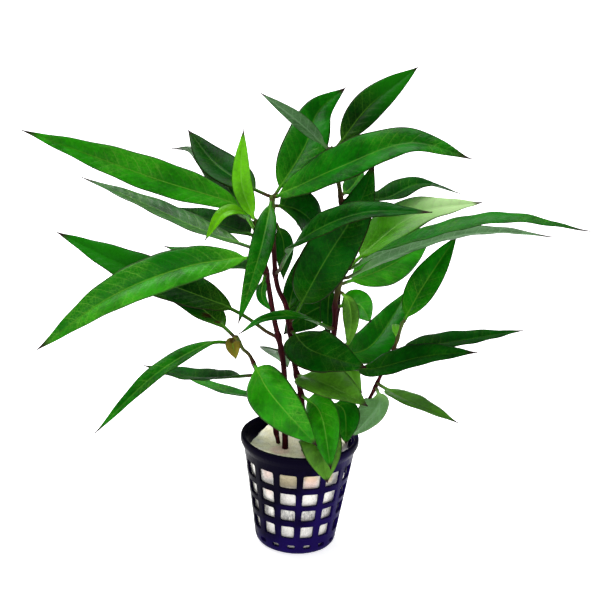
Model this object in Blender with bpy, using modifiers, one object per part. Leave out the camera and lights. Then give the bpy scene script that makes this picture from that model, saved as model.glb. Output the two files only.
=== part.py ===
"""A potted hygrophila: a net pot, its rockwool plug, four stems, two low shoots and their leaves.

Metres, +Z up. The origin is the middle of the pot's underside, and -Y is the plant's front.
The plant's own tables are in millimetres, as it would be measured on a bench.
"""

import math
from collections import namedtuple

import bmesh
import bpy
from mathutils import Matrix, Vector

MM = 0.001

# Room left between pieces that touch, and the extra that round pieces need when made of flat facets
GAP = 0.3
FACET_ROOM = 0.15

# Net pot
POT_HEIGHT = 49.0
RIM_RADIUS = 25.0
RIM_DEPTH = 5.5
RIM_THICKNESS = 2.0
RIM_EDGE = 0.5
RIM_BAND = 2.2
WALL_TOP_RADIUS = 23.5
WALL_FOOT_RADIUS = 17.3
FOOT_RADIUS = 14.2
FOOT_CURVE_HEIGHT = 3.4
FOOT_BEND = (16.3, 1.1)
WALL = 1.2
FLOOR = 1.4
POT_SIDES = 28

# Windows in the pot's wall
WINDOW_COLUMNS = 14
WINDOW_TURN = math.radians(2.3)
WINDOW_ROWS = ((33.6, 40.2), (25.0, 31.1), (17.4, 23.0), (8.8, 14.8))
RIB_WIDTH = 2.5
CUTTER_DEPTH = 8.0

# Low slots round the wall's foot, and holes in the floor
FOOT_SLOTS = 16
FOOT_SLOT_TURN = math.radians(-5.2)
FOOT_SLOT_ROW = (3.5, 5.4)
FOOT_SLOT_WIDTH = 3.4
FLOOR_HOLES = 6
FLOOR_HOLE_SIDES = 6
FLOOR_HOLE_RADIUS = 1.7
FLOOR_HOLE_RING = 9.5

# Rockwool plug. Its foot stands above the floor, where the wall curves in.
PLUG_TOP = 46.0
PLUG_FOOT = FLOOR + GAP + 2.5
PLUG_SIDES = 24
PLUG_FLAT = 18.2
PLUG_TURN = math.radians(-19)
STEM_HOLE_REACH = 12.0

# Blade outline: its widest place is a third of the way along
BLADE_BASE_POWER = 0.65
BLADE_TIP_POWER = 1.1
BLADE_RINGS = 10
BLADE_ROOT = 1 / 6
MIDRIB_THICKNESS = 1.0
TIP_THICKNESS = 0.35
STALK_RADIUS = 0.75

STEM_STEP = 9.5
STEM_FEWEST_RINGS = 6
STEM_TAPER = 0.3

Leaf = namedtuple("Leaf", "node stalk width fold face route")
Stem = namedtuple("Stem", "radius route leaves")

# Each leaf: the height of its node on the stem, the length of its stalk, the width of its blade,
# how far its margins stand up for each millimetre from the midrib, the way its upper face looks,
# and the points that its midrib passes through, the last of them the tip.
PLANT = {
    "left": Stem(
        1.35,
        ((-5, -7, 14), (-6, -8, 47), (-8, -8, 82), (-13, -6, 103), (-17, -4, 122), (-22, -4, 144)),
        (
            Leaf(142, 10, 17, 0.25, (0, -6, 8), ((-32, -8, 151), (-63, -14, 161.5), (-112, -22, 180))),
            Leaf(144, 2, 8, 0.5, (1, -6, 1), ((-28, -10, 161), (-27.5, -16, 183))),
            Leaf(139, 9, 7, 0.3, (0, -3, 8), ((-27, -14, 149), (-34.5, -18, 149), (-41, -21, 139))),
            Leaf(138, 8, 13, 0.25, (0, -4, 8), ((-38, 30, 150), (-51, 48, 157), (-61, 52, 157))),
            Leaf(131, 8, 14, 0.25, (0, -1, 8), ((-45, 4, 136), (-68, 12, 143), (-95, 20, 151))),
            Leaf(136, 6, 15, 0.25, (0, -4, 8), ((-40, 25, 133), (-59, 48, 132))),
            Leaf(128.5, 6, 17, 0.25, (0, -7, 7), ((-47, -14, 126), (-77, -24, 115), (-106, -30, 93))),
            Leaf(122, 8, 15, 0.25, (0, -2, 8), ((-37, 22, 116), (-63, 45, 115))),
            Leaf(121, 3, 5, 0.25, (-3, -6, 2), ((-18, -14, 115), (-14, -18, 110))),
            Leaf(95, 22, 18, 0.25, (0, -6, 8), ((-31, 2, 103), (-69, 12, 113), (-106, 20, 127))),
            Leaf(89, 4, 14, 0.25, (0, 2, 8), ((-12, 14, 80), (-6.5, 30, 67))),
            Leaf(69, 10, 9, 0.25, (0, 0, 8), ((-29, 14, 60), (-58, 44, 57))),
        ),
    ),
    "middle": Stem(
        1.3,
        ((2, -8, 14), (2, -9, 46), (0, -6, 67), (-4, -2, 83), (-8, 2, 104), (-13, 3, 117), (-16, 4, 152)),
        (
            Leaf(150, 3, 9, 0.25, (0, -8, 4), ((-19, -24, 137), (-26, -44, 113))),
            Leaf(140, 3, 8, 0.25, (2, -7, 2), ((-10.5, 8, 130), (-10, 9.5, 114))),
            Leaf(151, 2, 20, 0.25, (0, -5, 7), ((10, -10, 168), (36, -18, 181), (60, -26, 178))),
            Leaf(151, 5, 18, 0.25, (0, -9, 4), ((-4, 24, 167), (1, 38, 179), (12.4, 48, 188))),
            Leaf(147, 3, 18, 0.25, (0, -6, 5), ((-8, 12, 144.5), (-2, 17, 140), (6, 24, 129.5))),
            Leaf(119, 22, 14, 0.25, (0, -4, 8), ((-4, -22, 141), (18, -32, 156), (45, -42, 161))),
            Leaf(99, 12, 20, 0.25, (0, -9, 2), ((6, -14, 130), (18, -14, 153), (24, -6, 170))),
            Leaf(102, 3, 8, 0.25, (0, -8, 2), ((-6.5, 12, 106), (-4.4, 16, 113.4), (-0.9, 20, 126.4))),
            Leaf(95, 3, 20, 0.25, (0, -6, 6), ((2, -14, 93), (14.4, -22, 92), (25, -26, 91))),
            Leaf(77, 4, 18, 0.25, (0, -4, 8), ((5, -17, 81), (15, -26, 80.5), (26, -35.5, 78.5))),
            Leaf(69, 5, 14, 0.25, (0, -8, 3), ((8, -22, 68), (13, -33, 49))),
            Leaf(54, 5, 17, 0.25, (0, -6, 6), ((8, -23, 57), (12, -28, 40.5))),
            Leaf(151, 8, 16, 0.25, (0, -5, 8), ((-27.5, 14, 153), (-41, 30, 157), (-54, 48, 166.5))),
        ),
    ),
    "right": Stem(
        1.3,
        ((6, -6, 14), (5, -7, 46), (9, -2, 71), (12, 3, 95), (12, 4, 108), (15, 4, 125)),
        (
            Leaf(122, 8, 17, 0.25, (0, -1, 12), ((36, -12, 138), (73, -22, 153), (107, -30, 153))),
            Leaf(118, 8, 12, 0.25, (0, 6, 7), ((34, -2, 130.5), (55, -4, 140), (75, -8, 144.5), (96, -10, 144))),
            Leaf(122, 8, 21, 0.25, (0, -2, 8), ((42, 22, 140), (73, 40, 143))),
            Leaf(115, 8, 17, 0.25, (0, -8, 5), ((33, 32, 114), (54, 62, 118))),
            Leaf(112, 2, 7, 0.25, (0, -8, 1), ((17.5, 5, 107), (19, 6, 97), (18, 5.5, 86.5))),
            Leaf(105, 3, 12, 0.25, (0, -7, 4), ((22, 16, 102.5), (28, 24, 92))),
            Leaf(85, 6, 16, 0.25, (0, -6, 5), ((29, 25, 81), (46, 56, 97))),
            Leaf(82, 18, 14, 0.25, (0, -5, 8), ((26, -18, 87), (47, -34, 100), (66, -46, 107.5))),
            Leaf(78, 3, 9, 0.25, (0, -8, 2), ((18.6, 12, 75), (22, 14, 69), (25.8, 16, 62.4))),
            Leaf(66, 5, 12, 0.25, (0, -5, 6), ((17.5, -9.5, 65), (19, -19, 54))),
            Leaf(96, 12, 8, 0.25, (0, -2, 8), ((-2, -18, 108), (-16, -30, 111), (-26, -35, 106))),
            Leaf(113, 2, 7, 0.25, (0, -8, 1), ((9.4, 7.5, 109), (9.2, 9, 99), (10, 9.5, 89.5))),
        ),
    ),
    "back": Stem(
        1.2,
        ((6, 3, 14), (5, 4, 45), (10, 10, 70), (13, 12, 100), (13, 13, 131), (12, 13, 149), (7, 13, 171)),
        (
            Leaf(170, 4, 7, 0.25, (0, 8, 4), ((-8, 2, 184), (-22, -4, 195))),
            Leaf(169, 5, 13, 0.25, (0, -8, 4), ((22, 28, 185), (42, 44, 199))),
            Leaf(150, 4, 8, 0.25, (0, -8, 4), ((17, 30, 150), (22, 48, 153))),
            Leaf(148, 12, 14, 0.25, (0, -1, 8), ((31, 28, 146), (46, 42, 149), (65, 56, 142))),
            Leaf(102, 3, 14, 0.25, (0, -7, 3), ((7, 16, 101), (-1, 19, 95), (-9, 20, 86))),
        ),
    ),
    "right_shoot": Stem(
        0.9,
        ((14, 2, 18), (16, 1, 46), (27, 0, 64), (33, 0, 79), (37, 0, 89), (40, 0, 102)),
        (
            Leaf(101, 3, 13, 0.25, (-2, -7, 4), ((48, 12, 113), (62, 26, 132))),
            Leaf(94, 1, 4, 0.25, (0, -2, 8), ((38, 12, 95), (37, 20, 93))),
            Leaf(89, 5, 14, 0.25, (0, -1, 8), ((62, 20, 86), (96, 42, 85))),
            Leaf(74, 8, 12, 0.25, (0, 0, 8), ((43, -24, 76.5), (61, -44, 77))),
            Leaf(72, 2, 13, 0.25, (-1, 6, 1), ((32, -5, 67), (26, -9, 59), (21, -11, 54))),
        ),
    ),
    "left_shoot": Stem(
        1.0,
        ((-8, -2, 16), (-9, -3, 46), (-20, -12, 84), (-25, -14, 92), (-28, -15, 98)),
        (
            Leaf(96, 10, 15, 0.25, (0, -3, 8), ((-37.5, 0, 99), (-56, 18, 105), (-73, 34, 107))),
            Leaf(97.5, 1.5, 6, 0.25, (0, -8, 4), ((-28.8, -20, 96.5), (-27, -25, 91.5))),
            Leaf(95, 10, 9, 0.25, (0, -2, 8), ((-39, -22, 96), (-59, -32, 85.5), (-81, -42, 64))),
            Leaf(85, 2, 19, 0.2, (-3, -8, 3), ((-12, -27, 77.5), (7, -34, 59.5))),
            Leaf(79, 10, 14, 0.25, (0, -1, 8), ((-44, 12, 67.5), (-70, 34, 63))),
        ),
    ),
}


def material(name, colour, roughness):
    """A plain Principled material."""
    made = bpy.data.materials.new(name)
    made.use_nodes = True
    shader = made.node_tree.nodes["Principled BSDF"]
    shader.inputs["Base Color"].default_value = (*colour, 1.0)
    shader.inputs["Roughness"].default_value = roughness
    shader.inputs["Metallic"].default_value = 0.0
    return made


def new_object(name, data, collection, finish=None):
    made = bpy.data.objects.new(name, data)
    collection.objects.link(made)
    if finish:
        data.materials.append(finish)
    return made


def mesh_from(bm, name):
    mesh = bpy.data.meshes.new(name)
    bm.to_mesh(mesh)
    bm.free()
    return mesh


def shade_round(obj, angle=math.radians(35)):
    obj.data.shade_smooth()
    obj.data.set_sharp_from_angle(angle=angle)


def hide_cutter(obj):
    obj.hide_render = True
    obj.display_type = "WIRE"


def cut(obj, cutter, operation="DIFFERENCE"):
    boolean = obj.modifiers.new(f"{operation.lower()} {cutter.name}", "BOOLEAN")
    boolean.operation = operation
    boolean.object = cutter
    boolean.solver = "EXACT"


def route_points(points, per_span=12):
    """A close run of points on a smooth curve through the given ones (Catmull-Rom)."""
    stops = [Vector(p) for p in points]
    stops = [2 * stops[0] - stops[1], *stops, 2 * stops[-1] - stops[-2]]
    close = []
    for before, start, end, after in zip(stops, stops[1:], stops[2:], stops[3:]):
        for step in range(per_span):
            t = step / per_span
            close.append(0.5 * (
                2 * start
                + (end - before) * t
                + (2 * before - 5 * start + 4 * end - after) * t ** 2
                + (3 * start - before - 3 * end + after) * t ** 3
            ))
    close.append(stops[-2])
    return close


def route_length(close):
    return sum((b - a).length for a, b in zip(close, close[1:]))


def point_along(close, share):
    """The point and the direction at a share of the route's length."""
    left = share * route_length(close)
    for a, b in zip(close, close[1:]):
        step = (b - a).length
        if left <= step or b is close[-1]:
            return a.lerp(b, left / step), (b - a).normalized()
        left -= step


def point_at_height(close, height):
    """The place and direction of a stem at a height."""
    for a, b in zip(close, close[1:]):
        if height <= b.z or b is close[-1]:
            return a.lerp(b, (height - a.z) / (b.z - a.z)), (b - a).normalized()


def tube(name, points, radii, collection, finish=None):
    """A round stem: a curve with a bevel, its caps filled."""
    curve = bpy.data.curves.new(name, "CURVE")
    curve.dimensions = "3D"
    curve.bevel_depth = MM
    curve.bevel_resolution = 2
    curve.use_fill_caps = True
    spline = curve.splines.new("POLY")
    spline.points.add(len(points) - 1)
    for spot, place, radius in zip(spline.points, points, radii):
        spot.co = (*(place * MM), 1.0)
        spot.radius = radius
    return new_object(name, curve, collection, finish)


def tube_as_mesh(obj, collection):
    """The same tube as a mesh whose caps are joined to its wall."""
    graph = bpy.context.evaluated_depsgraph_get()
    mesh = bpy.data.meshes.new_from_object(obj.evaluated_get(graph))
    bm = bmesh.new()
    bm.from_mesh(mesh)
    bmesh.ops.remove_doubles(bm, verts=bm.verts, dist=0.01 * MM)
    bm.to_mesh(mesh)
    bm.free()
    made = new_object(f"{obj.name}_mesh", mesh, collection)
    made.matrix_world = obj.matrix_world
    bpy.data.objects.remove(obj)
    return made


def pot_profile():
    """Half of the pot's section, from the middle of the inner floor over the rim to the underside."""
    inner_top = RIM_RADIUS - RIM_THICKNESS
    return [
        (0, FLOOR),
        (FOOT_RADIUS - WALL, FLOOR),
        (WALL_FOOT_RADIUS - WALL, FOOT_CURVE_HEIGHT + WALL / 3),
        (WALL_TOP_RADIUS - WALL, POT_HEIGHT - RIM_DEPTH),
        (inner_top, POT_HEIGHT - RIM_EDGE),
        (inner_top + RIM_EDGE, POT_HEIGHT),
        (RIM_RADIUS - RIM_EDGE, POT_HEIGHT),
        (RIM_RADIUS, POT_HEIGHT - RIM_EDGE),
        (RIM_RADIUS, POT_HEIGHT - RIM_BAND),
        (WALL_TOP_RADIUS, POT_HEIGHT - RIM_DEPTH),
        (WALL_FOOT_RADIUS, FOOT_CURVE_HEIGHT),
        FOOT_BEND,
        (FOOT_RADIUS, 0),
        (0, 0),
    ]


def turned(name, outline, sides, collection, finish):
    """A profile in the X-Z plane turned about Z."""
    bm = bmesh.new()
    verts = [bm.verts.new((r * MM, 0, z * MM)) for r, z in outline]
    for a, b in zip(verts, verts[1:]):
        bm.edges.new((a, b))
    made = new_object(name, mesh_from(bm, name), collection, finish)
    screw = made.modifiers.new("turn", "SCREW")
    screw.axis = "Z"
    screw.angle = math.tau
    screw.steps = sides
    screw.render_steps = sides
    screw.use_merge_vertices = True
    screw.merge_threshold = 0.00005
    return made


def wall_radius(height):
    """The middle of the pot's wall at a height."""
    share = (height - FOOT_CURVE_HEIGHT) / (POT_HEIGHT - RIM_DEPTH - FOOT_CURVE_HEIGHT)
    return WALL_FOOT_RADIUS + share * (WALL_TOP_RADIUS - WALL_FOOT_RADIUS) - WALL / 2


def window_width(low, high):
    """The room between two ribs."""
    return math.tau * wall_radius((low + high) / 2) / WINDOW_COLUMNS - RIB_WIDTH


def add_opening(bm, angle, low, high, width):
    """The block that cuts one opening in the wall."""
    middle = (low + high) / 2
    radius = wall_radius(middle)
    place = (
        Matrix.Rotation(angle, 4, "Z")
        @ Matrix.Translation((radius * MM, 0, middle * MM))
        @ Matrix.Diagonal((CUTTER_DEPTH * MM, width * MM, (high - low) * MM, 1))
    )
    bmesh.ops.create_cube(bm, size=1, matrix=place)


def pot_cutter(collection):
    """All windows, slots and floor holes of the pot as one set of blocks."""
    bm = bmesh.new()
    for column in range(WINDOW_COLUMNS):
        angle = WINDOW_TURN + math.tau * column / WINDOW_COLUMNS
        for low, high in WINDOW_ROWS:
            add_opening(bm, angle, low, high, window_width(low, high))
    for number in range(FOOT_SLOTS):
        angle = FOOT_SLOT_TURN + math.tau * number / FOOT_SLOTS
        add_opening(bm, angle, *FOOT_SLOT_ROW, FOOT_SLOT_WIDTH)
    for number in range(FLOOR_HOLES):
        place = (
            Matrix.Rotation(math.tau * number / FLOOR_HOLES, 4, "Z")
            @ Matrix.Translation((FLOOR_HOLE_RING * MM, 0, 0))
        )
        bmesh.ops.create_cone(
            bm, cap_ends=True, segments=FLOOR_HOLE_SIDES, radius1=FLOOR_HOLE_RADIUS * MM,
            radius2=FLOOR_HOLE_RADIUS * MM, depth=CUTTER_DEPTH * MM, matrix=place,
        )
    cutter = new_object("pot_openings", mesh_from(bm, "pot_openings"), collection)
    hide_cutter(cutter)
    return cutter


def make_pot(parts, cutters):
    """The black net pot, turned and then pierced."""
    finish = material("pot plastic", (0.012, 0.010, 0.030), 0.35)
    pot = turned("net_pot", pot_profile(), POT_SIDES, parts, finish)
    pot.rotation_euler.z = WINDOW_TURN
    cut(pot, pot_cutter(cutters))
    shade_round(pot)


def make_plug(parts, cutters, stem_routes):
    """A squarish block of rockwool pressed into the round pot, with a hole for each stem."""
    finish = material("rockwool", (0.62, 0.55, 0.42), 0.95)
    clearance = WALL / 2 + GAP + FACET_ROOM
    low_radius = wall_radius(PLUG_FOOT) - clearance
    top_radius = wall_radius(POT_HEIGHT - RIM_DEPTH) - clearance
    depth = PLUG_TOP - PLUG_FOOT
    lift = Matrix.Translation((0, 0, (PLUG_FOOT + PLUG_TOP) / 2 * MM))
    bm = bmesh.new()
    bmesh.ops.create_cone(
        bm, cap_ends=True, segments=PLUG_SIDES, radius1=low_radius * MM,
        radius2=top_radius * MM, depth=depth * MM, matrix=lift,
    )
    plug = new_object("rockwool_plug", mesh_from(bm, "rockwool_plug"), parts, finish)
    bm = bmesh.new()
    block = (
        Matrix.Rotation(PLUG_TURN, 4, "Z")
        @ Matrix.Translation((0, 0, PLUG_TOP / 2 * MM))
        @ Matrix.Diagonal((2 * PLUG_FLAT * MM, 2 * PLUG_FLAT * MM, 2 * PLUG_TOP * MM, 1))
    )
    bmesh.ops.create_cube(bm, size=1, matrix=block)
    square = new_object("plug_square", mesh_from(bm, "plug_square"), cutters)
    hide_cutter(square)
    cut(plug, square, "INTERSECT")
    for stem_name, route in stem_routes.items():
        room = GAP + FACET_ROOM
        radius = PLANT[stem_name].radius + room
        below = route[0] - Vector((0, 0, room))
        inside = [p for p in route if p.z < PLUG_TOP + STEM_HOLE_REACH]
        hole = tube(f"hole_{stem_name}", [below, *inside], [radius] * (len(inside) + 1), cutters)
        hole = tube_as_mesh(hole, cutters)
        hide_cutter(hole)
        cut(plug, hole)
    shade_round(plug)


def stem_radius(stem, share):
    """A stem is thickest at its foot."""
    return stem.radius * (1 - STEM_TAPER * share)


def make_stem(name, stem, parts, finish):
    """One stem, from inside the plug to its growing tip. Returns the points of its middle line."""
    close = route_points(stem.route)
    count = max(STEM_FEWEST_RINGS, round(route_length(close) / STEM_STEP))
    shares = [i / (count - 1) for i in range(count)]
    points = [point_along(close, share)[0] for share in shares]
    tube(f"stem_{name}", points, [stem_radius(stem, share) for share in shares], parts, finish)
    return points


def blade_half_width(leaf, share):
    """Half of the blade's width at a share of its own length: quick to widen, slow to the point."""
    widest = BLADE_BASE_POWER / (BLADE_BASE_POWER + BLADE_TIP_POWER)
    grows = (share / widest) ** BLADE_BASE_POWER
    narrows = ((1 - share) / (1 - widest)) ** BLADE_TIP_POWER
    return leaf.width / 2 * grows * narrows


def leaf_route(leaf, stem, stem_points):
    """The midrib's close run of points, from just off the stem's bark to the tip."""
    on_stem, along = point_at_height(stem_points, leaf.node)
    heading = Vector(leaf.route[0]) - on_stem
    outward = (heading - along * heading.dot(along)).normalized()
    share = (leaf.node - stem_points[0].z) / (stem_points[-1].z - stem_points[0].z)
    reach = stem_radius(stem, min(share, 1)) + STALK_RADIUS + GAP + FACET_ROOM
    start = on_stem + outward * reach
    return route_points((start, *leaf.route))


def split_alike(bm, corners):
    """Splits each quad from a margin to the next ring's midrib.

    The upper and the lower skin are split alike, so that a twisted blade doesn't pass through itself.
    """
    for face in list(bm.faces):
        rings = {corners[vert][0] for vert in face.verts}
        if len(rings) == 2:
            margin = next(vert for vert in face.verts if corners[vert] == (min(rings), 1))
            midrib = next(vert for vert in face.verts if corners[vert] == (max(rings), 0))
            bmesh.utils.face_split(face, margin, midrib)


def make_leaf(name, leaf, route, parts, finish):
    """A leaf with its stalk: a four-sided rod, ringed along its length, each ring moved into place.

    A ring's four corners are the two margins and the midrib's upper and lower side.
    """
    length = route_length(route)
    stalk = leaf.stalk / length
    shares = [0, stalk * 0.5, stalk]
    shares += [stalk + (1 - stalk) * (i + 1) / BLADE_RINGS for i in range(BLADE_RINGS)]
    bm = bmesh.new()
    bmesh.ops.create_cone(bm, cap_ends=True, segments=4, radius1=1, radius2=1, depth=2)
    sides = [e for e in bm.edges if abs(e.verts[0].co.z - e.verts[1].co.z) > 1]
    bmesh.ops.subdivide_edges(bm, edges=sides, cuts=len(shares) - 2, use_grid_fill=True)
    last = len(shares) - 1
    corners = {}
    for vert in bm.verts:
        ring = round((vert.co.z + 1) / 2 * last)
        share = shares[ring]
        blade = min(1.0, max(0.0, (share - stalk) / (1 - stalk)))
        place, heading = point_along(route, share)
        side = Vector(leaf.face).cross(heading).normalized()
        up = heading.cross(side)
        half = max(STALK_RADIUS * (1 - blade), blade_half_width(leaf, blade))
        half = max(half, TIP_THICKNESS / 2)
        thick = STALK_RADIUS + (MIDRIB_THICKNESS / 2 - STALK_RADIUS) * min(1, blade / BLADE_ROOT)
        thick += (TIP_THICKNESS / 2 - thick) * blade
        lift = leaf.fold * (half - STALK_RADIUS) if half > STALK_RADIUS else 0
        across, above = round(vert.co.x), round(vert.co.y)
        corners[vert] = (ring, abs(across))
        vert.co = (place + side * half * across + up * (thick * above + lift * abs(across))) * MM
    split_alike(bm, corners)
    made = new_object(name, mesh_from(bm, name), parts, finish)
    made.data.shade_smooth()


def main():
    for obj in list(bpy.data.objects):
        bpy.data.objects.remove(obj)
    parts = bpy.data.collections.new("potted_hygrophila")
    cutters = bpy.data.collections.new("cutters")
    bpy.context.scene.collection.children.link(parts)
    bpy.context.scene.collection.children.link(cutters)

    stem_finish = material("stem", (0.10, 0.035, 0.045), 0.5)
    leaf_finish = material("leaf", (0.035, 0.16, 0.02), 0.4)
    stem_routes = {}
    for name, stem in PLANT.items():
        stem_routes[name] = make_stem(name, stem, parts, stem_finish)
        for number, leaf in enumerate(stem.leaves, start=1):
            route = leaf_route(leaf, stem, stem_routes[name])
            make_leaf(f"leaf_{name}_{number}", leaf, route, parts, leaf_finish)
    make_pot(parts, cutters)
    make_plug(parts, cutters, stem_routes)


main()
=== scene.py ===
"""The looks of a potted hygrophila: veined leaves, noded stems, fibrous rockwool and its net pot.

The frame is in metres, +Z up, with the middle of the pot's underside at the origin. The plant's own
tables are in millimetres, as it would be measured on a bench, and repeat those of the frame's solids.
"""

import math
import random
from collections import namedtuple

import bmesh
import bpy
from bpy.props import FloatProperty, FloatVectorProperty, IntProperty, PointerProperty
from bpy.types import Operator, Panel, PropertyGroup
from mathutils import Matrix, Vector, noise


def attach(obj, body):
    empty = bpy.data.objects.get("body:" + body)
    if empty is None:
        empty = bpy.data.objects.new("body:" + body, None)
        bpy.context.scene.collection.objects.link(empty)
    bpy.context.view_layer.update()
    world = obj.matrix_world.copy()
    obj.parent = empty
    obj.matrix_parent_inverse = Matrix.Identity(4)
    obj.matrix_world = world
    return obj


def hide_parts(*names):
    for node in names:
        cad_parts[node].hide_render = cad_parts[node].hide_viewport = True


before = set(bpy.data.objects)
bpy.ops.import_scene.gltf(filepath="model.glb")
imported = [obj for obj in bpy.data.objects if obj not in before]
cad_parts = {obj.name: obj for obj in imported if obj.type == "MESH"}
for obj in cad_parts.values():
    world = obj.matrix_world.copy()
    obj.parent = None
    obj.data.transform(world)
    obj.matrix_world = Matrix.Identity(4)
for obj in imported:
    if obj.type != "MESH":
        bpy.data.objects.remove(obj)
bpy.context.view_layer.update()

bl_info = {
    "name": "Potted hygrophila",
    "version": (1, 0, 0),
    "blender": (4, 5, 0),
    "location": "3D View > Sidebar > Hygrophila",
    "description": "Grows the leaves, stems, rockwool and net pot of a potted hygrophila, and its studio",
    "category": "Object",
}

MM = 0.001

# The net pot, as the frame has it
POT_HEIGHT = 49.0
RIM_RADIUS = 25.0
RIM_DEPTH = 5.5
RIM_THICKNESS = 2.0
WALL_TOP_RADIUS = 23.5
WALL_FOOT_RADIUS = 17.3
FOOT_RADIUS = 14.2
FOOT_CURVE_HEIGHT = 3.4
WALL = 1.2
FLOOR = 1.4
WINDOW_COLUMNS = 14
WINDOW_TURN = math.radians(2.3)
WINDOW_ROWS = ((33.6, 40.2), (25.0, 31.1), (17.4, 23.0), (8.8, 14.8))
RIB_WIDTH = 2.5
FOOT_SLOTS = 16
FOOT_SLOT_TURN = math.radians(-5.2)
FOOT_SLOT_ROW = (3.5, 5.4)
FOOT_SLOT_WIDTH = 3.4
FLOOR_HOLES = 6
FLOOR_HOLE_RADIUS = 1.7
FLOOR_HOLE_RING = 9.5
FLOOR_HOLE_SIDES = 24
POT_STEPS = 120
CORNER_STEPS = 4
CUTTER_DEPTH = 8.0

# The rockwool plug: its foot is a little lower than the frame's, and it keeps some room to the wall
PLUG_TOP = 46.0
PLUG_FOOT = 2.8
PLUG_FLAT = 18.2
PLUG_TURN = math.radians(-19)
PLUG_ROOM = 0.5
PLUG_CURVE_IN = 0.35

# The form of leaves and stems, as the frame has it
BLADE_BASE_POWER = 0.65
BLADE_TIP_POWER = 1.1
STALK_RADIUS = 0.75
STEM_TAPER = 0.3

# A leaf's map holds its blade at true scale: this many millimetres across and along
LEAF_MAP = (30.0, 130.0)

Leaf = namedtuple("Leaf", "tone node stalk width face route fold", defaults=(0.25,))
Stem = namedtuple("Stem", "radius route leaves")

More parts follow.
